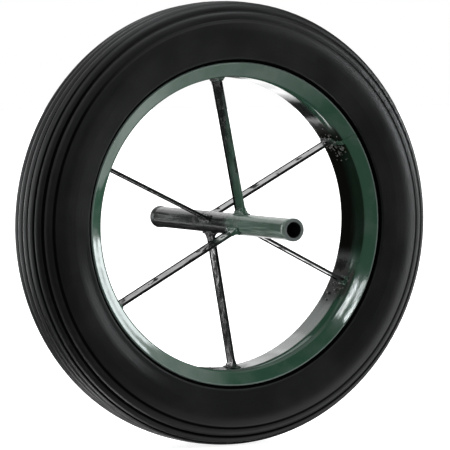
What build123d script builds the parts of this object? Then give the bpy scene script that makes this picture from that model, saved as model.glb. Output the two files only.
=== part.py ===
from build123d import *
from math import cos, degrees, radians, sin
import os

os.makedirs("parts", exist_ok=True)

# Spoked wheelbarrow wheel with a solid rubber tyre, built from steel strip, bar and tube.
# The axle lies along Y, the front of the wheel faces -Y, Z is up and the origin is the wheel's centre.
# Sizes are in millimetres and angles in degrees.

# Tyre: its height is the depth of rubber from the crown to the rim's lips
tyre_diameter = 400
tyre_width = 65
tyre_height = 55.5
rib_rise = 1.4
groove_floor = 1.4
# Each shoulder groove: how far it lies below the crown, and how far in from the tyre's side
shoulder_grooves = ((3.0, 13.1), (9.2, 7.2), (17.2, 1.7))
sidewall_step = 2.6
sidewall_swell = 0.5
# The bead by the rim: a soft shoulder runs down to a ridge, which falls into a crease at the rim's lip
bead_rise = 17.5
ridge_rise = 5.0
ridge_inset = 2.0
ridge_rounding = 1.2

# Rim, measured on the face that looks at the axle: its flanges rise from a flat well to two lips
flange_rise = 12.5
well_width = 40.5
rim_width = 55.5
rim_thickness = 2
rim_bend_radius = 4.5
lip_rounding = 0.8
seat_gap = 0.15
lip_gap = 0.6

# Seam that closes the rim, turned from the wheel's right like every angle here
seam_angle = 32.8
seam_width = 4
seam_height = 0.6

# Hub tube
hub_length = 263
hub_diameter = 19
hub_end_diameter = 20.2
hub_end_length = 3.5
hub_end_taper = 3
hub_lip_rounding = 0.8
bore_diameter = 13.5
bore_chamfer = 0.6

# Spokes, of flat bar
spoke_width = 16
spoke_thickness = 2.5
spoke_edge_rounding = 0.5
spoke_start_angle = 94.4
spoke_hub_offset = 33
spoke_rim_offset = 4

# Hand welding leaves each spoke a little off: its angle, its roll and its place along the hub.
# The last number is how far its weld spreads on the rim.
spoke_errors = (
    ("spoke_front_1", 0.0, 0.4, 3.2, 2.0),
    ("spoke_rear_1", 1.5, -4.1, -11.6, 2.2),
    ("spoke_front_2", -1.4, 0.0, 2.7, 2.2),
    ("spoke_rear_2", 0.0, 6.1, -2.2, 3.1),
    ("spoke_front_3", 0.8, 2.1, -3.5, 3.0),
    ("spoke_rear_3", -1.1, -1.3, 10.7, 3.5),
)

# Welds: each climbs the bar from a wide foot
hub_weld_leg = 3.5
hub_weld_climb = 4.5
rim_weld_climb = 5.0
weld_top_step = 0.5
weld_waist_height = 0.35
weld_waist_spread = 0.4
weld_roundness = 0.7
hub_weld_sink = 2.0
rim_weld_sink = 0.4

# Sizes that follow from the ones above
tyre_radius = tyre_diameter / 2
tyre_half = tyre_width / 2
flange_radius = tyre_radius - tyre_height
well_radius = flange_radius - flange_rise
hub_radius = hub_diameter / 2
bore_radius = bore_diameter / 2
hub_end_radius = hub_end_diameter / 2
spoke_pitch = 360 / len(spoke_errors)


def channel_points(reach):
    """The rim's section as four corners, with each flange lengthened by reach."""
    lip = Vector(flange_radius, rim_width / 2)
    corner = Vector(well_radius, well_width / 2)
    lip = lip + (lip - corner).normalized() * reach
    front_to_rear = [(lip.X, -lip.Y), (corner.X, -corner.Y), (corner.X, corner.Y), (lip.X, lip.Y)]
    return front_to_rear


# Tyre: half of the section runs from the middle groove to the bead, and is mirrored
tread_half = tyre_half - shoulder_grooves[0][1]
groove_centres = [Vector(tyre_radius - rib_rise, 0), Vector(tyre_radius - rib_rise, tread_half / 2)]
groove_centres += [Vector(tyre_radius - drop, tyre_half - inset) for drop, inset in shoulder_grooves]
bead_shoulder = Vector(flange_radius + bead_rise, tyre_half - sidewall_swell)
ridge_start = Vector(flange_radius + ridge_rise, tyre_half - ridge_inset)
ridge_end = ridge_start - Vector(ridge_rounding, ridge_rounding)
bead_corner, bead_lip = [Vector(*point) for point in channel_points(lip_gap)[-2:]]
up_flange = (bead_lip - bead_corner).normalized()
crease = bead_lip + Vector(up_flange.Y, -up_flange.X) * (rim_thickness + seat_gap)
sidewall_top = Vector(groove_centres[-1].X - sidewall_step, tyre_half - sidewall_swell)
sidewall_middle = Vector((sidewall_top.X + bead_shoulder.X) / 2, tyre_half)

with BuildPart() as tyre:
    with BuildSketch(Plane.XY) as tyre_section:
        with BuildLine():
            rib_start = groove_centres[0] + Vector(0, groove_floor / 2)
            Line(groove_centres[0], rib_start)
            for before, centre, after in zip(
                groove_centres, groove_centres[1:], groove_centres[2:] + [sidewall_top]
            ):
                along = (after - before).normalized() * (groove_floor / 2)
                SagittaArc(rib_start, centre - along, -rib_rise)
                Line(centre - along, centre + along)
                rib_start = centre + along
            Line(rib_start, sidewall_top)
            sidewall = ThreePointArc(sidewall_top, sidewall_middle, bead_shoulder)
            shoulder = TangentArc(bead_shoulder, ridge_start, tangent=sidewall % 1)
            TangentArc(ridge_start, ridge_end, tangent=shoulder % 1)
            Polyline(ridge_end, crease, bead_lip)
            mirror(about=Plane.XZ)
            FilletPolyline(*channel_points(lip_gap), radius=rim_bend_radius)
        make_face()
        with BuildLine():
            FilletPolyline(*channel_points(lip_gap), radius=rim_bend_radius)
            offset(amount=rim_thickness + seat_gap, side=Side.RIGHT)
        make_face(mode=Mode.SUBTRACT)
    revolve(axis=Axis.Y)
tyre.part.label = "tyre"
export_step(tyre.part, "parts/tyre.step")

# Rim: one strip, rolled to a flat well between two flared flanges
with BuildPart() as rim:
    with BuildSketch(Plane.XY) as rim_section:
        with BuildLine():
            FilletPolyline(*channel_points(0), radius=rim_bend_radius)
            offset(amount=rim_thickness, side=Side.RIGHT)
        make_face()
        lip_corners = rim_section.vertices().sort_by(Axis.Y)
        fillet(lip_corners[:2] + lip_corners[-2:], lip_rounding)
    revolve(axis=Axis.Y)
rim.part.label = "rim"
export_step(rim.part, "parts/rim.step")

# Hub tube: plain tube whose two ends swell a little
with BuildPart() as hub_tube:
    with BuildSketch(Plane.XY) as hub_section:
        with BuildLine():
            end = hub_length / 2
            Polyline(
                (bore_radius, 0),
                (bore_radius, end),
                (hub_end_radius, end),
                (hub_end_radius, end - hub_end_length),
                (hub_radius, end - hub_end_length - hub_end_taper),
                (hub_radius, 0),
            )
            mirror(about=Plane.XZ)
        make_face()
        end_corners = hub_section.vertices().group_by(Axis.Y)
        fillet([end_corners[0].sort_by(Axis.X)[-1], end_corners[-1].sort_by(Axis.X)[-1]], hub_lip_rounding)
        mouth_corners = hub_section.vertices().group_by(Axis.Y)
        chamfer([mouth_corners[0].sort_by(Axis.X)[0], mouth_corners[-1].sort_by(Axis.X)[0]], bore_chamfer)
    revolve(axis=Axis.Y)
hub_tube.part.label = "hub_tube"
export_step(hub_tube.part, "parts/hub_tube.step")


# Spokes: front and rear ones take turns round the wheel, and each leans from its place on the hub to the rim
def rolled(plane, roll):
    """The same plane, turned in itself round its origin."""
    across = plane.x_dir * cos(radians(roll)) + plane.y_dir * sin(radians(roll))
    return Plane(origin=plane.origin, x_dir=across, z_dir=plane.z_dir)


def bar_plane(angle, roll, hub_offset, rim_offset):
    """A plane across a spoke at the axle line: x runs along the bar's width and z along its length."""
    start = Vector(0, hub_offset, 0)
    finish = Vector(well_radius * cos(radians(angle)), rim_offset, well_radius * sin(radians(angle)))
    along = (finish - start).normalized()
    level = Plane(origin=start, x_dir=Vector(0, 1, 0) - along * along.Y, z_dir=along)
    return rolled(level, roll)


def weld_bead(bar, angle, roll, foot_radius, top_radius, leg):
    """A bead round a bar: wide at its foot, hollowed at its waist, and little wider than the bar on top."""
    outward = Vector(cos(radians(angle)), 0, sin(radians(angle)))
    step = bar.z_dir / bar.z_dir.dot(outward)
    level = Plane(origin=bar.origin + step * foot_radius, x_dir=(0, 1, 0), z_dir=outward)
    foot = rolled(level, roll)
    top = Plane(origin=bar.origin + step * top_radius, x_dir=bar.x_dir, z_dir=bar.z_dir)
    waist = Plane(foot.origin + (top.origin - foot.origin) * weld_waist_height, foot.x_dir, foot.z_dir)
    waist_spread = weld_top_step + (leg - weld_top_step) * weld_waist_spread
    with BuildPart() as bead:
        for plane, spread in ((foot, leg), (waist, waist_spread), (top, weld_top_step)):
            with BuildSketch(plane):
                RectangleRounded(
                    spoke_width + 2 * spread,
                    spoke_thickness + 2 * spread,
                    spoke_edge_rounding + spread * weld_roundness,
                )
        loft()
    return bead.part


spokes = []
hub_beads = []
rim_beads = []
for turn, (spoke_name, angle_error, roll, offset_error, rim_weld_leg) in enumerate(spoke_errors):
    side = -1 if turn % 2 == 0 else 1
    angle = spoke_start_angle + spoke_pitch * turn + angle_error
    bar = bar_plane(angle, roll, side * (spoke_hub_offset + offset_error), side * spoke_rim_offset)
    with BuildPart() as spoke:
        with BuildSketch(bar):
            RectangleRounded(spoke_width, spoke_thickness, spoke_edge_rounding)
        extrude(amount=flange_radius)
        with BuildSketch(Plane.XZ):
            Circle(well_radius)
            Circle(hub_radius, mode=Mode.SUBTRACT)
        extrude(amount=hub_length / 2, both=True, mode=Mode.INTERSECT)
    spoke.part.label = spoke_name
    export_step(spoke.part, f"parts/{spoke_name}.step")
    spokes.append(spoke.part)
    hub_beads.append(
        weld_bead(bar, angle, roll, hub_radius - hub_weld_sink, hub_radius + hub_weld_climb, hub_weld_leg)
    )
    rim_beads.append(
        weld_bead(bar, angle, roll, well_radius + rim_weld_sink, well_radius - rim_weld_climb, rim_weld_leg)
    )

# Welds: six beads on the hub tube, six on the rim's well, each cut back to the metal that it joins
with BuildPart() as hub_welds:
    add(hub_beads)
    with BuildSketch(Plane.XZ):
        Circle(hub_radius)
    extrude(amount=hub_length / 2, both=True, mode=Mode.SUBTRACT)
    add(spokes, mode=Mode.SUBTRACT)
hub_welds.part.label = "hub_welds"
export_step(hub_welds.part, "parts/hub_welds.step")

with BuildPart() as rim_welds:
    add(rim_beads)
    with BuildSketch(Plane.XZ):
        Circle(well_radius)
    extrude(amount=rim_width / 2, both=True, mode=Mode.INTERSECT)
    add(spokes, mode=Mode.SUBTRACT)
rim_welds.part.label = "rim_welds"
export_step(rim_welds.part, "parts/rim_welds.step")

# Seam: a low bead across the strip, in two runs that stop at the last rear spoke's weld
with BuildPart() as rim_seam_weld:
    seam_turn = degrees(seam_width / well_radius)
    with BuildSketch(Plane.XY.rotated((0, -seam_angle - seam_turn / 2, 0))):
        with BuildLine():
            FilletPolyline(*channel_points(0), radius=rim_bend_radius)
            offset(amount=seam_height, side=Side.LEFT)
        make_face()
    revolve(axis=Axis.Y, revolution_arc=seam_turn)
    add([spokes[-1], rim_beads[-1]], mode=Mode.SUBTRACT)
rim_seam_weld.part.label = "rim_seam_weld"
export_step(rim_seam_weld.part, "parts/rim_seam_weld.step")
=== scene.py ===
# %% [markdown]
# Dressing a wheelbarrow wheel
#
# The wheel is a solid rubber tyre on a channel of rolled steel, with six flat bars welded between the
# channel and a long plain tube. Every solid piece is already modelled at its real size, so this lesson
# covers what only a renderer can show: glossy green enamel over rough welds, black moulded rubber, and
# the light that makes both readable. Sizes are in metres and angles in degrees. Z is up, the axle lies
# along Y, and the front of the wheel faces -Y.

# %% Load the frame
import math
import random
from types import SimpleNamespace

import bmesh
import bpy
import numpy as np
from mathutils import Matrix, Quaternion, Vector


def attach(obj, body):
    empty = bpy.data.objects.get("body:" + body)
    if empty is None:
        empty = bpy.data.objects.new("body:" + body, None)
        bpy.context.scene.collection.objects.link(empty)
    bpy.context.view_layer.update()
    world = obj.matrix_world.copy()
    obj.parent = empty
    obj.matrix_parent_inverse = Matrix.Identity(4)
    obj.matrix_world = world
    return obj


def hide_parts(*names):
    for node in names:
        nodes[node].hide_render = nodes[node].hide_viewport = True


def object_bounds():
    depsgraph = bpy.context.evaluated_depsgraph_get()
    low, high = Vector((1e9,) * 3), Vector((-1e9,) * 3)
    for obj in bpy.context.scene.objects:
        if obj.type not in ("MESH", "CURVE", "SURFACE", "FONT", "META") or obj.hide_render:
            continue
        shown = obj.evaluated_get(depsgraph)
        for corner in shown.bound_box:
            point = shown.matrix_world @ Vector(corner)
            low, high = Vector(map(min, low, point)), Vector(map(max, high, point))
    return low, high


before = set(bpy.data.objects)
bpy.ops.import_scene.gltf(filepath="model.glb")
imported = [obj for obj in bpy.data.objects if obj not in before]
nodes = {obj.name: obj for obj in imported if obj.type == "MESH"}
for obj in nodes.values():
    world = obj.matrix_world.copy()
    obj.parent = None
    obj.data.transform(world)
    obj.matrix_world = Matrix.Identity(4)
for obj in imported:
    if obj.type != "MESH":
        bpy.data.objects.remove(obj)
cad_low, cad_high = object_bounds()
print("solid pieces:", len(nodes), "box:", [round(v, 3) for v in (*cad_low, *cad_high)])

# %% [markdown]
# The camera is the first thing to settle, because each finish is judged through it. The wheel is seen
# from its front left, almost level, through a long lens that keeps its ellipses nearly parallel. The
# photograph's centre misses the axle by a hair, so the camera is slid sideways and down by that much
# instead of shifting the lens.

# %% Camera
view_azimuth = math.radians(-27.45)
view_elevation = math.radians(3.01)
view_distance = 3.0206
lens_mm = 267.7
sensor_mm = 36.0
slide_right, slide_up = 0.0008, -0.0018

back = Vector((
    math.sin(view_azimuth) * math.cos(view_elevation),
    -math.cos(view_azimuth) * math.cos(view_elevation),
    math.sin(view_elevation),
))
right = Vector((math.cos(view_azimuth), math.sin(view_azimuth), 0.0))
up = back.cross(right)

camera_data = bpy.data.cameras.new("camera")
camera_data.lens = lens_mm
camera_data.sensor_width = sensor_mm
camera = bpy.data.objects.new("camera", camera_data)
camera.location = back * view_distance + right * slide_right + up * slide_up
camera.rotation_euler = (math.pi / 2 - view_elevation, 0.0, view_azimuth)
bpy.context.scene.collection.objects.link(camera)
bpy.context.scene.camera = camera
print("camera at", [round(v, 3) for v in camera.location])

# %% [markdown]
# Most of the work below is done by shader nodes. Placing each by hand takes five lines, so a few small
# helpers do it: one makes a node, fills its inputs and joins whatever is itself the output of another
# node, and the others make the steps that come up again and again.


# %% Node helpers
def put(tree, kind, inputs=None, **settings):
    """A new node: plain values fill its inputs, and outputs of other nodes are joined to them."""
    made = tree.nodes.new("ShaderNode" + kind)
    for key, value in settings.items():
        setattr(made, key, value)
    for key, value in (inputs or {}).items():
        if isinstance(value, bpy.types.NodeSocket):
            tree.links.new(value, made.inputs[key])
        else:
            made.inputs[key].default_value = value
    return made


def sums(tree, operation, *values, clamp=False):
    """The result of one arithmetic step on values or outputs."""
    made = put(tree, "Math", dict(enumerate(values)), operation=operation, use_clamp=clamp)
    return made.outputs["Value"]


def object_place(tree):
    """A point's place in its piece's own coordinates."""
    return put(tree, "TexCoord").outputs["Object"]


def vectors(tree, operation, *values, scale=None):
    """The result of one step on vectors, which is a number for a length, distance or dot product."""
    inputs = dict(enumerate(values)) if scale is None else {0: values[0], "Scale": scale}
    made = put(tree, "VectorMath", inputs, operation=operation)
    is_number = operation in ("LENGTH", "DISTANCE", "DOT_PRODUCT")
    return made.outputs["Value" if is_number else "Vector"]


def ramp(tree, value, start, end, low=0.0, high=1.0):
    """A smooth step from low to high while the value goes from start to end."""
    limits = {"Value": value, "From Min": start, "From Max": end, "To Min": low, "To Max": high}
    return put(tree, "MapRange", limits, interpolation_type="SMOOTHSTEP").outputs["Result"]


def mixed(tree, factor, first, second):
    """A colour between two others."""
    blend = put(tree, "Mix", data_type="RGBA")
    for key, value in ((0, factor), (6, first), (7, second)):
        if isinstance(value, bpy.types.NodeSocket):
            tree.links.new(value, blend.inputs[key])
        else:
            blend.inputs[key].default_value = value
    return blend.outputs[2]


# %% [markdown]
# The wheel stands on a pale floor that melts into a white surround. The floor is matt paint that also glows
# to the camera. Near the wheel the glow is a little weaker, and it is painted light that pales the tyre's
# shadow. Further out the glow is full, so that no horizon shows behind the wheel. Glossy paint is mostly a
# picture of the room, and a white floor would turn the undersides of the bars grey, so the floor lights the
# wheel but isn't mirrored in it.

# %% Floor
floor_size = 30.0
floor_level = cad_low.z
shadow_reach, glow_reach = 0.4, 1.5
near_glow = 0.85

floor_mesh = bpy.data.meshes.new("floor")
sheet = bmesh.new()
bmesh.ops.create_grid(sheet, x_segments=1, y_segments=1, size=floor_size / 2)
bmesh.ops.translate(sheet, verts=sheet.verts, vec=(0, 0, floor_level))
sheet.to_mesh(floor_mesh)
sheet.free()
floor = bpy.data.objects.new("floor", floor_mesh)
floor.visible_glossy = False
bpy.context.scene.collection.objects.link(floor)

floor_paint = bpy.data.materials.new("pale_floor")
floor_paint.use_nodes = True
tree = floor_paint.node_tree
shader = tree.nodes["Principled BSDF"]
shader.inputs["Base Color"].default_value = (0.9, 0.9, 0.9, 1)
shader.inputs["Roughness"].default_value = 0.7
shader.inputs["Emission Strength"].default_value = 1.0
reach = vectors(tree, "LENGTH", object_place(tree))
# Painted light: even near the wheel the floor glows to the camera, which pales the tyre's shadow.
glow = ramp(tree, reach, shadow_reach, glow_reach, low=near_glow)
seen = put(tree, "LightPath").outputs["Is Camera Ray"]
tree.links.new(sums(tree, "MULTIPLY", glow, seen), shader.inputs["Emission Color"])
floor_mesh.materials.append(floor_paint)
print("floor lies at", round(floor_level, 4))

# %% [markdown]
# The camera sees a plain white room. What the paint sees is different: a dark room with a few soft
# patches of light. Reflector boards would do the same in a studio, but each would need a place where the
# camera can't see it, so here the patches are painted on the surround. Each has a direction, the angle at
# which it starts, the angle inside which it is full, and its strength. They were found by asking, for
# each bright or dark place on the rim, the bars and the tube, in which direction its mirror image of the
# room lies. Faces that look straight away from the axle, such as the tube's and the well's, all mirror a
# ring of directions behind the wheel, and that is where nearly half of the patches lie.

# %% Surround
bpy.context.scene.view_settings.view_transform = "Standard"
room = bpy.data.worlds.new("room")
room.use_nodes = True
bpy.context.scene.world = room
tree = room.node_tree
room_shade = 0.045
patches = (
    # where it is, its direction, where it starts, where it is full, its strength
    ("behind, high, for the bars", (0.137, 0.886, 0.443), 8, 4, 1.8),
    ("behind, high on the left", (-0.10, 0.886, 0.452), 12, 4, 1.3),
    ("behind, low on the left", (-0.352, 0.886, -0.30), 5.5, 2.5, 1.6),
    ("straight behind", (0.0, 1.0, 0.0), 13, 11, 5.0),
    ("behind, high on the right", (0.36, 0.87, 0.30), 13, 6, 1.5),
    ("behind, low on the right", (0.37, 0.88, -0.28), 10, 6, 1.9),
    ("behind, lower on the right", (0.32, 0.80, -0.48), 10, 5, 2.8),
    ("behind, low", (-0.02, 0.886, -0.463), 3.5, 1.5, 1.5),
    ("right, low", (0.95, -0.14, -0.26), 28, 12, 2.1),
    ("right, high", (0.80, -0.32, 0.54), 26, 6, 1.6),
    ("below, front", (0.46, -0.37, -0.806), 42, 16, 1.2),
    ("below, left", (-0.24, 0.37, -0.89), 14, 9, 9.0),
    ("above", (0.0, -0.1, 1.0), 42, 15, 0.9),
    ("left", (-0.99, 0.05, -0.08), 13, 6, 2.2),
    ("left, above", (-0.75, 0.05, 0.65), 24, 10, 2.2),
    ("left, below", (-0.68, 0.20, -0.70), 19, 8, 1.8),
    ("in front", (-0.50, -0.85, -0.05), 60, 20, 0.08),
)
facing = put(tree, "TexCoord").outputs["Generated"]
total = room_shade
for title, direction, edge, full, strength in patches:
    towards = vectors(tree, "DOT_PRODUCT", facing, Vector(direction).normalized())
    patch = ramp(tree, towards, math.cos(math.radians(edge)), math.cos(math.radians(full)), high=strength)
    total = sums(tree, "ADD", total, patch)
camera_ray = put(tree, "LightPath").outputs["Is Camera Ray"]
tree.links.new(mixed(tree, camera_ray, total, (1, 1, 1, 1)), tree.nodes["Background"].inputs["Color"])
print("patches of light in the room:", len(patches))

# %% [markdown]
# Five soft boxes do the rest. A box mirrors with a crisp edge and a patch of the surround with a soft one,
# so the sharp highlights come from boxes. The narrow one in front is rolled to follow the flange's curve
# and draws the bright double line at its lower right. Each box stands in a direction from the wheel's
# centre and faces it. It is given by its radiance, because that is what a glossy face mirrors, and its
# power in watts follows from its size.

# %% Lights
daylight = (0.93, 0.99, 1.0)
soft_boxes = (
    # name, direction, distance, width, height, radiance, roll in degrees
    ("right_box", (0.96, -0.18, 0.23), 2.2, 0.45, 1.1, 12.0, 23.0),
    ("top_box", (0.15, 0.35, 0.95), 2.4, 2.0, 1.4, 1.6, 0.0),
    ("front_lamp", (-0.258, -0.885, 0.387), 3.0, 0.035, 0.78, 50.0, -31.0),
    ("right_front_lamp", (0.88, -0.46, 0.05), 2.4, 0.4, 1.4, 2.0, 0.0),
    ("left_back_lamp", (-0.80, 0.60, -0.02), 2.4, 0.9, 1.9, 5.0, 0.0),
)
for name, direction, distance, width, height, radiance, roll in soft_boxes:
    lamp = bpy.data.lights.new(name, "AREA")
    lamp.shape = "RECTANGLE"
    lamp.size, lamp.size_y = width, height
    lamp.energy = radiance * math.pi * width * height
    lamp.color = daylight
    box = bpy.data.objects.new(name, lamp)
    box.location = Vector(direction).normalized() * distance
    facing_wheel = box.location.to_track_quat("Z", "Y")
    box.rotation_euler = (facing_wheel @ Quaternion((0, 0, 1), math.radians(roll))).to_euler()
    box.visible_camera = False
    bpy.context.scene.collection.objects.link(box)
    print(name, "at", [round(v, 2) for v in box.location], "gives", round(lamp.energy), "W")

# %% [markdown]
# Each bar ends in a hand-made weld at the tube and another at the rim. On the real wheel such a weld is a
# row of frozen drops that run into each other round the foot of the bar. It could be one smooth fillet
# with a bumpy material, but its outline shows against the white behind the spokes, so the drops are
# modelled: each is a small ball, they overlap, and a voxel remesh melts them into the solid bead that
# carries them. First the script reads where each bar stands, from the bar itself.


# %% Where each bar stands
def points_of(name):
    """The corners of a node's mesh, one row each."""
    flat = np.empty(len(nodes[name].data.vertices) * 3)
    nodes[name].data.vertices.foreach_get("co", flat)
    return flat.reshape(-1, 3)


plain_half_length = 0.126
rim_points, tube_points = points_of("rim"), points_of("hub_tube")
on_plain_tube = np.abs(tube_points[:, 1]) < plain_half_length
well_radius = float(np.hypot(rim_points[:, 0], rim_points[:, 2]).min())
tube_radius = float(np.hypot(tube_points[:, 0], tube_points[:, 2])[on_plain_tube].max())
middle_radius = (well_radius + tube_radius) / 2


def bar_frame(name):
    """The bar's foot on the axle side, its three directions and its half sizes, all measured on its mesh."""
    points = points_of(name)
    radius = np.hypot(points[:, 0], points[:, 2])
    near, far = points[radius < middle_radius].mean(0), points[radius > middle_radius].mean(0)
    along = (far - near) / np.linalg.norm(far - near)
    spread = points - near
    spread -= np.outer(spread @ along, along)
    width = np.linalg.svd(spread - spread.mean(0), full_matrices=False)[2][0]
    width = width if width[1] > 0 else -width
    thick = np.cross(along, width)
    half_sizes = np.abs(spread @ width).max(), np.abs(spread @ thick).max()
    return Vector(near), Vector(along), Vector(width), Vector(thick), half_sizes


spokes = sorted(name for name in nodes if name.startswith("spoke_"))
bars = {name: bar_frame(name) for name in spokes}
for name, (_, along, _, _, half_sizes) in bars.items():
    angle = math.degrees(math.atan2(along.z, along.x)) % 360
    print(name, "at", round(angle, 1), "degrees, half sizes", [round(float(v), 4) for v in half_sizes])

# %% [markdown]
# The drops sit in two rings round each foot. The lower ring lies on the tube or the rim and is the wider
# one, and the upper ring climbs the bar. Their sizes and places vary a little, from a seeded random
# generator, so the result is the same each time. They stand out by less than a millimetre, as the solid
# bead below them already has the weld's true size.

# %% Rings of drops
chance = random.Random(7)


def round_the_bar(half_sizes, share, spread):
    """A point of a rectangle that runs round the bar, as offsets along its width and its thickness."""
    half_w, half_t = half_sizes[0] + spread, half_sizes[1] + spread
    walked = share * 4 * (half_w + half_t)
    for start_w, start_t, step_w, step_t, length in (
        (-half_w, -half_t, 1, 0, 2 * half_w),
        (half_w, -half_t, 0, 1, 2 * half_t),
        (half_w, half_t, -1, 0, 2 * half_w),
        (-half_w, half_t, 0, -1, 2 * half_t),
    ):
        if walked <= length:
            return start_w + step_w * walked, start_t + step_t * walked
        walked -= length
    return -half_w, -half_t


def drop_ring(bar, radius_from_axle, lift, spread, size, count):
    """Places and sizes of a ring of drops round a bar's foot, at a distance from the axle."""
    near, along, width, thick, half_sizes = bar
    drops = []
    for turn in range(count):
        share = (turn + chance.uniform(-0.25, 0.25)) / count % 1
        w, t = round_the_bar(half_sizes, share, spread)
        place = near + width * w + thick * t
        rise = radius_from_axle - math.hypot(place.x, place.z)
        place = place + along * (rise / math.hypot(along.x, along.z))
        place = place + along * (lift + chance.uniform(-0.0003, 0.0003))
        drops.append((place, size * chance.uniform(0.8, 1.2)))
    return drops


wide_feet = ("spoke_rear_2", "spoke_front_3", "spoke_rear_3")
hub_drops, rim_drops = [], []
for name, bar in bars.items():
    rim_foot = 0.0022 if name in wide_feet else 0.0013
    hub_drops += drop_ring(bar, tube_radius, lift=0.0004, spread=0.0016, size=0.0011, count=22)
    hub_drops += drop_ring(bar, tube_radius, lift=0.0022, spread=0.0003, size=0.0010, count=18)
    rim_drops += drop_ring(bar, well_radius, lift=-0.0003, spread=rim_foot, size=0.0011, count=24)
    rim_drops += drop_ring(bar, well_radius, lift=-0.0022, spread=0.0004, size=0.0009, count=18)
print("drops at the tube:", len(hub_drops), "drops at the rim:", len(rim_drops))

# %% [markdown]
# A voxel remesh wraps one skin round everything that it is given, so balls that overlap come out as one
# lump, as molten drops do. Its voxels are about a quarter of a drop across, which keeps each drop, and two
# rounds of smoothing take the stair steps off. The result stands for the plain bead of the solid model.

# %% Weld beads
voxel = 0.00045
smoothing_rounds = 2


def melted(name, solid, drops):
    """A copy of a node's solid beads with drops added, melted into one skin."""
    lump = bmesh.new()
    lump.from_mesh(nodes[solid].data)
    bmesh.ops.remove_doubles(lump, verts=lump.verts, dist=1e-6)
    for place, size in drops:
        ball = bmesh.ops.create_icosphere(lump, subdivisions=2, radius=size)
        bmesh.ops.translate(lump, verts=ball["verts"], vec=place)
    mesh = bpy.data.meshes.new(name)
    lump.to_mesh(mesh)
    lump.free()
    piece = bpy.data.objects.new(name, mesh)
    bpy.context.scene.collection.objects.link(piece)
    melt = piece.modifiers.new("melt", "REMESH")
    melt.mode = "VOXEL"
    melt.voxel_size = voxel
    melt.use_smooth_shade = True
    settle = piece.modifiers.new("settle", "SMOOTH")
    settle.iterations = smoothing_rounds
    settled = piece.evaluated_get(bpy.context.evaluated_depsgraph_get())
    piece.data = bpy.data.meshes.new_from_object(settled)
    piece.modifiers.clear()
    print(name, "has", len(piece.data.polygons), "faces and", len(drops), "drops")
    return piece


hub_beads = melted("hub_weld_beads", "hub_welds", hub_drops)
rim_beads = melted("rim_weld_beads", "rim_welds", rim_drops)
for beads, solid in ((hub_beads, "hub_welds"), (rim_beads, "rim_welds")):
    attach(beads, "root")
    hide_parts(solid)

# %% [markdown]
# Where the welder had most to fill, small beads of metal were thrown on the strip and were painted over:
# a patch as wide as the well round the foot that covers the strip's own seam, and a smaller one below
# the foot on the lower right. Each is a flattened ball, partly sunk in the strip. A bump in the paint would
# do at a distance, but these catch the light one by one.

# %% Spatter
spatter_spots = (
    # the bar it lies at, turn from that bar, spread of the turn, place along Y, its spread, count
    ("spoke_rear_3", 0.0, 3.2, -0.002, 0.0095, 46),
    ("spoke_rear_3", -4.5, 2.0, -0.004, 0.0080, 16),
    ("spoke_front_3", -4.0, 2.2, -0.001, 0.0075, 22),
    ("spoke_front_3", 1.5, 1.2, -0.014, 0.0020, 6),
    ("spoke_front_1", 0.0, 4.0, -0.006, 0.0080, 8),
    ("spoke_rear_2", 0.0, 4.0, 0.0, 0.0080, 8),
)
well_half_width = 0.0175
smallest_grain, largest_grain = 0.0004, 0.0017
lifted_share = 0.35

grains = bmesh.new()
for spoke, turn, turn_spread, along_y, y_spread, count in spatter_spots:
    direction = bars[spoke][1]
    base = math.degrees(math.atan2(direction.z, direction.x)) + turn
    for _ in range(count):
        angle = math.radians(base + chance.gauss(0, turn_spread))
        y = max(-well_half_width, min(well_half_width, along_y + chance.gauss(0, y_spread)))
        size = min(largest_grain, smallest_grain + abs(chance.gauss(0, 0.0005)))
        flat = chance.uniform(0.5, 0.9)
        outward = Vector((math.cos(angle), 0, math.sin(angle)))
        place = outward * (well_radius - size * flat * lifted_share) + Vector((0, y, 0))
        ball = bmesh.ops.create_icosphere(grains, subdivisions=2, radius=size)
        settle = Matrix.Translation(place) @ Matrix.Scale(flat, 4, outward)
        bmesh.ops.transform(grains, matrix=settle, verts=ball["verts"])
for face in grains.faces:
    face.smooth = True
spatter_mesh = bpy.data.meshes.new("weld_spatter")
grains.to_mesh(spatter_mesh)
grains.free()
spatter = bpy.data.objects.new("weld_spatter", spatter_mesh)
bpy.context.scene.collection.objects.link(spatter)
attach(spatter, "root")
print("spatter grains:", sum(spot[-1] for spot in spatter_spots))

# %% [markdown]
# Every finish below depends on where a point lies on the wheel: how far from the axle, how far along it,
# and how far round. One function puts the few nodes that work this out into a material or a group. They
# read each piece's own coordinates, which all have the wheel's centre as their origin, so the rim, the
# tube and the bars agree. The other helpers make masks from these places and from soft noises.


# %% Places on the wheel
def wheel_place(tree):
    """A point's distance from the axle, its place along it, and its turn in degrees from the right."""
    x, y, z = put(tree, "SeparateXYZ", {0: object_place(tree)}).outputs
    across = put(tree, "CombineXYZ", {0: x, 2: z}).outputs[0]
    turn = sums(tree, "MULTIPLY", sums(tree, "ARCTAN2", z, x), 180 / math.pi)
    return vectors(tree, "LENGTH", across), y, turn


def away_from_axle(tree):
    """The direction in which a point lies from the axle."""
    return vectors(tree, "NORMALIZE", vectors(tree, "MULTIPLY", object_place(tree), (1.0, 0.0, 1.0)))


def product(tree, first, *others):
    """Several masks or values multiplied together."""
    for other in others:
        first = sums(tree, "MULTIPLY", first, other)
    return first


def largest(tree, first, *others):
    """The largest of several masks or values."""
    for other in others:
        first = sums(tree, "MAXIMUM", first, other)
    return first


def distance_from(tree, value, centre):
    """How far a value is from a chosen one, on either side."""
    return sums(tree, "ABSOLUTE", sums(tree, "SUBTRACT", value, centre))


def clouds(tree, place, scale, detail, roughness=0.5):
    """Soft random values over a surface, which a larger scale makes finer."""
    wanted = {"Vector": place, "Scale": scale, "Detail": detail, "Roughness": roughness}
    return put(tree, "TexNoise", wanted).outputs["Fac"]


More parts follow.
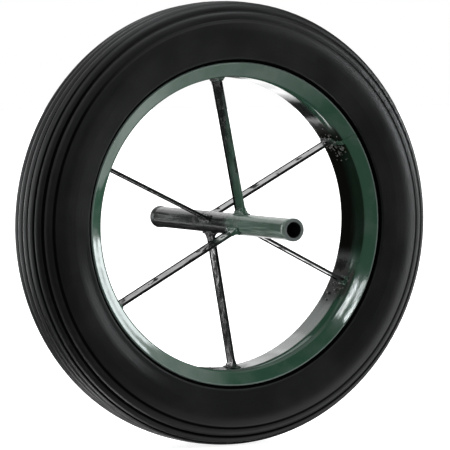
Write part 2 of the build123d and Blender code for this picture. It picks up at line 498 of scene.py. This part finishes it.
def wavering(tree, value, noise, reach):
    """A value that a noise moves up and down, by half the reach at most."""
    return sums(tree, "MULTIPLY_ADD", noise, reach, sums(tree, "SUBTRACT", value, reach / 2))


print("well at", round(well_radius, 4), "m and tube at", round(tube_radius, 4), "m from the axle")

# %% [markdown]
# The green and its painted shade, the soot and the marks of the steel belong to several paints. Each is a
# group of nodes, built once and placed in each paint with its own values. A group hands out only what
# changes over the surface: a mask, a noise or a normal.
#
# The marks come first. They are long and fine, and show through the paint. The strip was rolled and then
# bent to a ring, so its marks run round the wheel. A noise that is stretched along one axis can't bend
# like that, so for the strip the noise is read along a circle, and it is fine only across the strip. The
# tube was drawn and the bars were rolled straight, and there a stretched noise does.


# %% Marks of rolling and drawing
def shared_group(title, outlets, inlets=None):
    """An empty group of nodes, its outlets to be filled, and what comes in through its inlets."""
    made = bpy.data.node_groups.new(title, "ShaderNodeTree")
    for way, sockets in (("INPUT", inlets or {}), ("OUTPUT", outlets)):
        for name, kind in sockets.items():
            made.interface.new_socket(name=name, in_out=way, socket_type="NodeSocket" + kind)
    given = made.nodes.new("NodeGroupInput").outputs if inlets else None
    return made, made.nodes.new("NodeGroupOutput").inputs, given


def use(tree, shared, inlets=None):
    """The outlets of a shared group that is placed in a material or in another group."""
    return put(tree, "Group", inlets, node_tree=shared).outputs


circle_size, lanes_per_metre = 4.0, 420.0
mark_detail, mark_roughness = 3.0, 0.6

rolling, ends, _ = shared_group("rolling_streaks", {"Streak": "Float"})
radius, along, _ = wheel_place(rolling)
heading = vectors(rolling, "SCALE", away_from_axle(rolling), scale=circle_size)
over = sums(rolling, "MULTIPLY", sums(rolling, "ADD", along, radius), lanes_per_metre)
lane = vectors(rolling, "ADD", heading, put(rolling, "CombineXYZ", {1: over}).outputs[0])
rolling.links.new(clouds(rolling, lane, 1.0, mark_detail, mark_roughness), ends["Streak"])

straight, ends, given = shared_group("straight_streaks", {"Streak": "Float"}, {"Stretch": "Vector"})
stretched = vectors(straight, "MULTIPLY", object_place(straight), given["Stretch"])
straight.links.new(clouds(straight, stretched, 1.0, mark_detail, mark_roughness), ends["Streak"])
print("marks:", [group.name for group in bpy.data.node_groups])

# %% [markdown]
# The wheel's paint is green. Where the wheel is turned away from the front, it is painted nearly black as
# painted shade. The green is full on the flanges and on the front half of the tube, and fades behind, so the
# well, the rear half of the tube and the far ends of the bars are nearly black. At the well's front edge the
# green ends in streaks. A hard edge would look masked, so the edge of the painted shade wanders with a soft
# cloud.

# %% Green and painted shade
green_edge, green_edge_wander = (-0.010, -0.032), 0.024
flange_foot, off_middle = (0.1322, 0.1340), (0.0, 0.006)
well_side, streak_edge, streak_wander = (0.1265, 0.1280), (0.001, -0.014), 0.016


def front_green(tree, along):
    """How green a place along the axle is: full at the front and painted shade behind, with a cloudy edge.
    """
    cloud = clouds(tree, object_place(tree), 55.0, 4.0)
    return ramp(tree, wavering(tree, along, cloud, green_edge_wander), *green_edge)


# Painted shade: where this share of green is low, the paint is nearly black.
green_group, ends, _ = shared_group("green_and_painted_shade", {"Green Share": "Float"})
radius, along, _ = wheel_place(green_group)
either_side = sums(green_group, "ABSOLUTE", along)
flanges = product(green_group, ramp(green_group, radius, *flange_foot), ramp(green_group, either_side, *off_middle))
streaky = wavering(green_group, along, use(green_group, rolling)["Streak"], streak_wander)
well_edge = product(green_group, ramp(green_group, radius, *well_side), ramp(green_group, streaky, *streak_edge))
green_group.links.new(largest(green_group, front_green(green_group, along), flanges, well_edge), ends["Green Share"])
print("green from y =", green_edge[0], "to full at", green_edge[1])

# %% [markdown]
# Round the welds the paint sank into scale and soot, which left it brownish and dull. The bars stand about
# 60 degrees apart, so one folded angle gives the way to the nearest bar, and a cloud breaks the soot's
# outline. Each paint says how large a share of the soot it takes.

# %% Soot
first_spoke, half_step, bead_y = 34.4, 30.0, 0.033
near_well, inside_flange = (0.119, 0.129), (0.1335, 0.1325)
soot_arc, soot_wander = (0.022, 0.007), 0.024
near_tube, near_beads, patches_of_soot, tube_share = (0.021, 0.012), (0.017, 0.009), (0.40, 0.58), 0.6

soot, ends, given = shared_group("weld_soot", {"Soot": "Float"}, {"Share": "Float"})
radius, along, turn = wheel_place(soot)
cloud = clouds(soot, object_place(soot), 130.0, 5.0)
from_spoke = sums(soot, "PINGPONG", sums(soot, "SUBTRACT", turn, first_spoke), half_step)
arc = wavering(soot, product(soot, from_spoke, math.pi / 180, radius), cloud, soot_wander)
at_rim = product(soot, ramp(soot, radius, *near_well), ramp(soot, arc, *soot_arc))
at_rim = product(soot, at_rim, ramp(soot, radius, *inside_flange))
from_beads = distance_from(soot, sums(soot, "ABSOLUTE", along), bead_y)
at_tube = product(soot, ramp(soot, radius, *near_tube), ramp(soot, from_beads, *near_beads))
at_tube = product(soot, at_tube, ramp(soot, cloud, *patches_of_soot), tube_share)
soot.links.new(product(soot, largest(soot, at_rim, at_tube), given["Share"]), ends["Soot"])
print("soot lies round", [round(first_spoke + 2 * half_step * k, 1) for k in range(6)], "degrees")

# %% [markdown]
# Enamel is never flat. Close up it has the fine dimples of sprayed paint, over that the marks of how the
# steel was made, and over both a slow sag that bends reflections. Real dents in the mesh would need
# millions of faces, so three bumps are laid over each other instead. The group takes the height of each,
# as the strip is smoother than the bars, the tube and the welds.

# %% Paint skin
skin_heights = ("Mark Height", "Sag Height", "Dimple Height")
sag_scale, dimple_scale = 42.0, 900.0

skin_inlets = dict.fromkeys(("Marks", *skin_heights), "Float")
paint_skin, ends, given = shared_group("paint_skin", {"Normal": "Vector"}, skin_inlets)
sag = clouds(paint_skin, object_place(paint_skin), sag_scale, 2.0)
dimples = clouds(paint_skin, object_place(paint_skin), dimple_scale, 1.0)
below = {}
for noise, height in ((sag, "Sag Height"), (given["Marks"], "Mark Height"), (dimples, "Dimple Height")):
    wrinkle = put(paint_skin, "Bump", {"Height": noise, "Distance": given[height], "Strength": 1.0, **below})
    below = {"Normal": wrinkle.outputs["Normal"]}
paint_skin.links.new(below["Normal"], ends["Normal"])

steels = {
    # how its marks are stretched, or None where they run round, and the heights in skin_heights
    "rolled strip": (None, 0.00001, 0.0002, 0.000008),
    "drawn tube": ((330.0, 14.0, 330.0), 0.00016, 0.0006, 0.00002),
    "flat bar": ((60.0, 420.0, 60.0), 0.00006, 0.0012, 0.00002),
    "weld": ((600.0, 600.0, 600.0), 0.00012, 0.0010, 0.00002),
}
print("steels under the paint:", list(steels))

# %% [markdown]
# One function mixes these into an enamel. It is green where the share of green is high and nearly black, as
# painted shade, where that share is low. It is dusty in clouds, brown with soot round the welds, and duller
# where there is soot or a mark. Below the axle the bars are painted shade too, all but their feet at the
# tube. The function hands back its nodes, so that a piece can add to its own paint.

# %% Enamel
green = (0.030, 0.092, 0.057, 1)
dusty_green = (0.105, 0.155, 0.125, 1)
painted_shade_dark = (0.0055, 0.0060, 0.0058, 1)
scale_brown = (0.014, 0.0115, 0.009, 1)
enamel_ior = 1.52
green_height, green_foot = (-0.014, 0.002), (0.034, 0.016)


def enamel(title, steel, soot_share=1.0, only_above=False, dust=(0.05, 0.45), gloss=(0.10, 0.20)):
    """The sprayed enamel over one kind of steel, and the nodes that a piece may add to."""
    paint = bpy.data.materials.new(title)
    paint.use_nodes = True
    tree = paint.node_tree
    inputs = tree.nodes["Principled BSDF"].inputs
    inputs["IOR"].default_value = enamel_ior
    stretch, *heights = steels[steel]
    if stretch is None:
        marks = use(tree, rolling)["Streak"]
    else:
        marks = use(tree, straight, {"Stretch": stretch})["Streak"]
    normal = use(tree, paint_skin, {"Marks": marks, **dict(zip(skin_heights, heights))})["Normal"]
    green_share = use(tree, green_group)["Green Share"]
    sooty = use(tree, soot, {"Share": soot_share})["Soot"]
    if only_above:
        height = put(tree, "SeparateXYZ", {0: object_place(tree)}).outputs[2]
        foot = ramp(tree, wheel_place(tree)[0], *green_foot)
        green_share = product(tree, green_share, largest(tree, ramp(tree, height, *green_height), foot))
    dusty = ramp(tree, clouds(tree, object_place(tree), 42.0, 5.0), 0.40, 0.66, *dust)
    # Painted shade: where the share of green is low, the colour is nearly black.
    colour = mixed(tree, green_share, painted_shade_dark, mixed(tree, dusty, green, dusty_green))
    colour = mixed(tree, sums(tree, "MULTIPLY", sooty, 0.85), colour, scale_brown)
    roughness = ramp(tree, marks, 0.3, 0.8, *gloss)
    roughness = sums(tree, "MULTIPLY_ADD", sooty, 0.22, roughness, clamp=True)
    tree.links.new(normal, inputs["Normal"])
    tree.links.new(roughness, inputs["Roughness"])
    tree.links.new(colour, inputs["Base Color"])
    return SimpleNamespace(
        paint=paint, tree=tree, inputs=inputs, marks=marks, normal=normal, colour=colour, roughness=roughness
    )


print("enamel's index of refraction:", enamel_ior)

# %% [markdown]
# The welds get this enamel over a lumpy skin, and with only a third of the soot, so that their drops still
# catch the light. The grains of spatter are paler than the strip that they sit on. Most of their colour is a
# pale grey, a painted glint, which makes each one stand out against the dark well.

# %% Paint on welds and spatter
spatter_glint_grey = (0.115, 0.110, 0.100, 1)
spatter_glint_share = 0.85

weld_paint = enamel("enamel_on_weld", "weld", soot_share=0.35).paint
grain_coat = enamel("enamel_on_spatter", "weld", soot_share=0.0)
# Painted highlight: the grains are a paler grey, as glints.
colour = mixed(grain_coat.tree, spatter_glint_share, grain_coat.colour, spatter_glint_grey)
grain_coat.tree.links.new(colour, grain_coat.inputs["Base Color"])
print("painted:", weld_paint.name, "and", grain_coat.paint.name)

# %% [markdown]
# The rim's paint has three additions. A thin line of paler paint runs round its lips, a painted highlight.
# On the right the well is painted very dark and quite dull, as painted shade. Away from it the well is
# lightened with some green. The painted shade also takes away the sheen, which its roughness alone wouldn't,
# because even a rough surface is pale when it is seen along its face.

# %% Rim's paint
painted_lip_highlight = (0.20, 0.26, 0.23, 1)
well_shade_black = (0.0060, 0.0064, 0.0044, 1)
lip_radii, well_radii = (0.1434, 0.1441), (0.1345, 0.1330)
well_shade_turn, well_shade_edge, well_shade_share = 12.0, (32.0, 20.0), 0.8
green_lift_edge, green_lift_share = (38.0, 58.0), 0.45

strip = enamel("enamel_on_rolled_strip", "rolled strip", gloss=(0.06, 0.16))
tree = strip.tree
radius, along, turn = wheel_place(tree)
from_well_shade = distance_from(tree, turn, well_shade_turn)
in_well = ramp(tree, radius, *well_radii)
# Painted shade: the well on the right is very dark, dull and without sheen.
well_shade = product(tree, ramp(tree, from_well_shade, *well_shade_edge), in_well)
green_lift = product(tree, in_well, ramp(tree, from_well_shade, *green_lift_edge), green_lift_share)
colour = mixed(tree, green_lift, strip.colour, green)
colour = mixed(tree, sums(tree, "MULTIPLY", well_shade, well_shade_share), colour, well_shade_black)
# Painted highlight: a paler line round the lips.
tree.links.new(mixed(tree, ramp(tree, radius, *lip_radii), colour, painted_lip_highlight), strip.inputs["Base Color"])
roughness = sums(tree, "MULTIPLY_ADD", well_shade, 0.85, strip.roughness, clamp=True)
tree.links.new(roughness, strip.inputs["Roughness"])
tree.links.new(ramp(tree, well_shade, 0.0, 0.9, 0.5, 0.0), strip.inputs["Specular IOR Level"])
print("grime lies round", well_shade_turn, "degrees")

# %% [markdown]
# Rolling leaves no face of the strip quite flat. The flange is dished by a few degrees, and the well
# turns up a little before the bend. That is too little to see in the outline, but glossy paint shows it
# at once, because it moves and splits the lamps' images. So the paint's normal leans along the axle, by
# an amount that depends on the place in the section. Behind the wheel's middle it doesn't lean.


# %% Lean of the strip's faces
def leaned(tree, normal, lean):
    """A normal that leans by a vector, at full length again."""
    return vectors(tree, "NORMALIZE", vectors(tree, "ADD", normal, lean))


flange_middle, flange_half = 0.1393, 0.0036
flange_leans, well_leans = (-0.135, -0.095), (0.0, -0.42)
well_turn_up, flange_bend, front_side = (-0.005, -0.0185), (0.1318, 0.1345), (0.0, -0.002)

from_middle = distance_from(tree, radius, flange_middle)
flange_lean = ramp(tree, from_middle, 0.0, flange_half, *flange_leans)
well_lean = ramp(tree, along, *well_turn_up, *well_leans)
on_flange = ramp(tree, radius, *flange_bend)
lean = put(tree, "Mix", {0: on_flange, 2: well_lean, 3: flange_lean}).outputs[0]
lean = product(tree, lean, ramp(tree, along, *front_side))
lean = put(tree, "CombineXYZ", {1: lean}).outputs[0]
tree.links.new(leaned(tree, strip.normal, lean), strip.inputs["Normal"])
print("flange's middle at", flange_middle, "m from the axle")

# %% [markdown]
# A bar's paint is glossy on its broad faces. Along the edge that is turned to the rear, and in blots along
# each bar, it is painted black and dull as painted shade. Each bar lies in its own direction, so each has
# its own material, which measures the way across the bar from that bar's foot. On two bars the photograph
# shows more of the dull side, so there it starts earlier.

# %% Bars' paint
bar_shade_black = (0.002, 0.002, 0.002, 1)
bar_shade_from = {"spoke_front_3": -0.25, "spoke_rear_1": -0.85}
usual_bar_shade_from, bar_shade_step = 0.42, 0.15
shade_blot_scale, shade_blot_edge, shade_blot_share = 75.0, (0.53, 0.62), 0.7


def bar_paint(name):
    """The enamel of one bar, painted dull black as painted shade along its rear edge and in blots."""
    near, _, width, _, half_sizes = bars[name]
    coat = enamel("enamel_on_" + name, "flat bar", only_above=True, dust=(0.2, 0.6))
    tree = coat.tree
    across = vectors(tree, "DOT_PRODUCT", vectors(tree, "SUBTRACT", object_place(tree), near), width)
    half_width, start = float(half_sizes[0]), bar_shade_from.get(name, usual_bar_shade_from)
    # Painted shade along the rear edge and in blots: black, dull and with little sheen.
    rear_edge = ramp(tree, across, half_width * start, half_width * (start + bar_shade_step))
    shade_blots = clouds(tree, object_place(tree), shade_blot_scale, 4.0, 0.6)
    bar_shade = largest(tree, rear_edge, ramp(tree, shade_blots, *shade_blot_edge, 0.0, shade_blot_share))
    tree.links.new(mixed(tree, bar_shade, coat.colour, bar_shade_black), coat.inputs["Base Color"])
    tree.links.new(ramp(tree, bar_shade, 0.0, 1.0, 0.5, 0.02), coat.inputs["Specular IOR Level"])
    roughness = largest(tree, coat.roughness, sums(tree, "MULTIPLY", bar_shade, 0.95))
    tree.links.new(roughness, coat.inputs["Roughness"])
    return coat.paint


bar_paints = {name: bar_paint(name) for name in spokes}
print("bars painted:", len(bar_paints))

# %% [markdown]
# The tube was drawn through a die, and light streaks are painted along its drawing marks as painted
# highlights. Its two end faces are painted a paler grey and dull, a painted reflection, and the bore is
# painted black as painted shade. The underside is painted black and dull as painted shade, most of all
# behind. The swelled collars at the ends are less glossy than the tube between them.

# %% Tube's paint
end_face_highlight_grey = (0.13, 0.15, 0.145, 1)
bore_shade_black = (0.002, 0.002, 0.002, 1)
underside_shade_black = (0.003, 0.003, 0.003, 1)
highlight_streak_rear, highlight_streak_front = (0.11, 0.12, 0.115, 1), (0.26, 0.36, 0.30, 1)
end_faces, collars, bore_radii = (0.13135, 0.13145), (0.1235, 0.1245), (0.00725, 0.0069)
underside_shade_heights, underside_shade_shares = (-0.0030, -0.0075), (0.95, 0.35)
streaks, highlight_streak_share = (0.44, 0.68), 0.75
collar_roughness, unglossed_roughness, under_roughness = 0.38, 0.75, 0.8

tube = enamel("enamel_on_drawn_tube", "drawn tube", dust=(0.6, 1.0), gloss=(0.18, 0.32))
tree = tube.tree
radius, along, _ = wheel_place(tree)
height = put(tree, "SeparateXYZ", {0: object_place(tree)}).outputs[2]
from_middle = sums(tree, "ABSOLUTE", along)
end_face = ramp(tree, from_middle, *end_faces)
in_bore = ramp(tree, radius, *bore_radii)
front_green_share = front_green(tree, along)
# Painted shade: the underside is black and dull, most of all behind.
under = product(tree, ramp(tree, height, *underside_shade_heights), ramp(tree, front_green_share, 0.0, 1.0, *underside_shade_shares))

# Painted highlights: light streaks along the drawing marks.
drawn = ramp(tree, tube.marks, *streaks, 0.0, highlight_streak_share)
colour = mixed(tree, drawn, tube.colour, mixed(tree, front_green_share, highlight_streak_rear, highlight_streak_front))
# The end faces are painted a paler grey, a painted reflection.
colour = mixed(tree, end_face, mixed(tree, under, colour, underside_shade_black), end_face_highlight_grey)
# Painted shade: the bore is black.
tree.links.new(mixed(tree, in_bore, colour, bore_shade_black), tube.inputs["Base Color"])

collar = ramp(tree, from_middle, *collars, 0.0, collar_roughness)
unglossed = largest(tree, end_face, collar, sums(tree, "MULTIPLY", in_bore, unglossed_roughness))
unglossed = sums(tree, "MINIMUM", unglossed, unglossed_roughness)
dulled = sums(tree, "MULTIPLY", under, under_roughness)
tree.links.new(largest(tree, tube.roughness, unglossed, dulled), tube.inputs["Roughness"])
tree.links.new(ramp(tree, under, 0.0, 1.0, 0.5, 0.05), tube.inputs["Specular IOR Level"])
print("end faces bare, bore and underside black")

# %% [markdown]
# The tyre's grooves are painted a dull black as painted shade, because light hardly reaches them, and the
# crease between the bead and the rim is painted blacker still. The grooves are modelled, but they are
# narrow, so a mask darkens them too. It is made from the distance to each groove's place in the section. At
# the top of the wheel, where light from above falls into them, the painted shade in the grooves is weaker.

# %% Groove mask
grooves = (
    # radius, place along the axle, reach of the dark, how dark
    (0.1986, 0.0, 0.0015, 0.75),
    (0.1986, 0.0097, 0.0015, 0.75),
    (0.1970, 0.0194, 0.0020, 0.85),
    (0.1908, 0.0253, 0.0022, 0.85),
    (0.1828, 0.0308, 0.0021, 0.75),
    (0.1470, 0.0270, 0.0026, 1.0),
)
full_dark_share = 0.3
shade_top_turn, shade_top_edge, shade_top_share = 95.0, (15.0, 60.0), 0.3
below_tread = 0.160, 0.155

rubber = bpy.data.materials.new("moulded_rubber")
rubber.use_nodes = True
tree = rubber.node_tree
radius, along, turn = wheel_place(tree)
section_place = put(tree, "CombineXYZ", {0: radius, 1: sums(tree, "ABSOLUTE", along)}).outputs[0]
dark = 0.0
for groove_radius, groove_y, dark_reach, strength in grooves:
    away = vectors(tree, "DISTANCE", section_place, (groove_radius, groove_y, 0.0))
    dark = largest(tree, dark, ramp(tree, away, dark_reach, dark_reach * full_dark_share, high=strength))
# The painted shade in the grooves is weaker towards the top of the wheel.
shade_away_from_top = ramp(tree, distance_from(tree, turn, shade_top_turn), *shade_top_edge, shade_top_share, 1.0)
dark = product(tree, dark, largest(tree, shade_away_from_top, ramp(tree, radius, *below_tread)))
print("dark lines in the section:", len(grooves))

# %% [markdown]
# The tyre is cured in a steel mould. Its sidewalls carry the mould's fine turning marks as rings, its skin
# is finely pitted, and a grey bloom comes to the surface in soft clouds. Moulded rubber is satin, black
# with a broad faint sheen, so its specular level is low and its roughness is near a half.

# %% Rubber
rubber_black, rubber_bloom = (0.0050, 0.0050, 0.0055, 1), (0.0100, 0.0098, 0.0100, 1)
groove_shade_black = (0.0008, 0.0008, 0.0009, 1)
rubber_sheen, groove_sheen = 0.36, 0.02
ring_scale, pit_scale, skin_height = 900.0, 1400.0, 0.00010

shader = tree.nodes["Principled BSDF"]
shader.inputs["IOR"].default_value = 1.45
shader.inputs["Specular IOR Level"].default_value = rubber_sheen
bloom = clouds(tree, object_place(tree), 16.0, 6.0, 0.62)
bloomed = mixed(tree, ramp(tree, bloom, 0.42, 0.72), rubber_black, rubber_bloom)
# Painted shade: the grooves and the crease are nearly black.
tree.links.new(mixed(tree, dark, bloomed, groove_shade_black), shader.inputs["Base Color"])

rings = clouds(tree, put(tree, "CombineXYZ", {0: radius, 1: along}).outputs[0], ring_scale, 2.0)
satin = wavering(tree, ramp(tree, bloom, 0.35, 0.7, 0.40, 0.52), rings, 0.10)
tree.links.new(largest(tree, satin, sums(tree, "MULTIPLY", dark, 0.9)), shader.inputs["Roughness"])
tree.links.new(ramp(tree, dark, 0.0, 0.8, rubber_sheen, groove_sheen), shader.inputs["Specular IOR Level"])
print("rubber's specular level:", rubber_sheen)

# %% [markdown]
# The sidewall isn't flat either. It swells towards the shoulder all round, and above the bead at the lower
# left it is a little hollow. Seen from the front, both show only as bands of sheen, so the shape stays as
# it is and the normal leans, outwards for the swell and inwards for the hollow, over the rings and pits.

# %% Sidewall's swell
swell_rise, swell_end, swell_lean = (0.169, 0.183), (0.1850, 0.1835), 0.36
hollow_rise, hollow_end, hollow_lean = (0.1510, 0.1550), (0.1650, 0.1575), 0.24
hollow_turn, hollow_edge = -145.0, (34.0, 10.0)

pits = clouds(tree, object_place(tree), pit_scale, 2.0)
ringed = put(tree, "Bump", {"Height": rings, "Distance": skin_height, "Strength": 1.0}).outputs["Normal"]
pitted = {"Height": pits, "Distance": skin_height, "Strength": 1.0, "Normal": ringed}
pitted = put(tree, "Bump", pitted).outputs["Normal"]
swell = product(tree, ramp(tree, radius, *swell_rise, 0.0, swell_lean), ramp(tree, radius, *swell_end))
hollow = product(tree, ramp(tree, radius, *hollow_rise, 0.0, hollow_lean), ramp(tree, radius, *hollow_end))
hollow = product(tree, hollow, ramp(tree, distance_from(tree, turn, hollow_turn), *hollow_edge))
outward = vectors(tree, "SCALE", away_from_axle(tree), scale=sums(tree, "SUBTRACT", swell, hollow))
tree.links.new(leaned(tree, pitted, outward), shader.inputs["Normal"])
print("sidewall leans by up to", swell_lean, "at the shoulder")

# %% [markdown]
# Last, each piece gets its finish. The solid pieces that stay as they are only change the material in
# their slots, and a solid piece that isn't the tyre, the tube, the rim or a bar is a weld.

# %% Finishes on the pieces
finish_of = {"tyre": rubber, "hub_tube": tube.paint, "rim": strip.paint, **bar_paints}
for name, node in nodes.items():
    finish = finish_of.get(name, weld_paint)
    if not node.material_slots:
        node.data.materials.append(finish)
    for held in node.material_slots:
        held.material = finish
new_finishes = ((hub_beads, weld_paint), (rim_beads, weld_paint), (spatter, grain_coat.paint))
for piece, finish in new_finishes:
    piece.data.materials.clear()
    piece.data.materials.append(finish)
print("finished pieces:", len(nodes) + len(new_finishes))
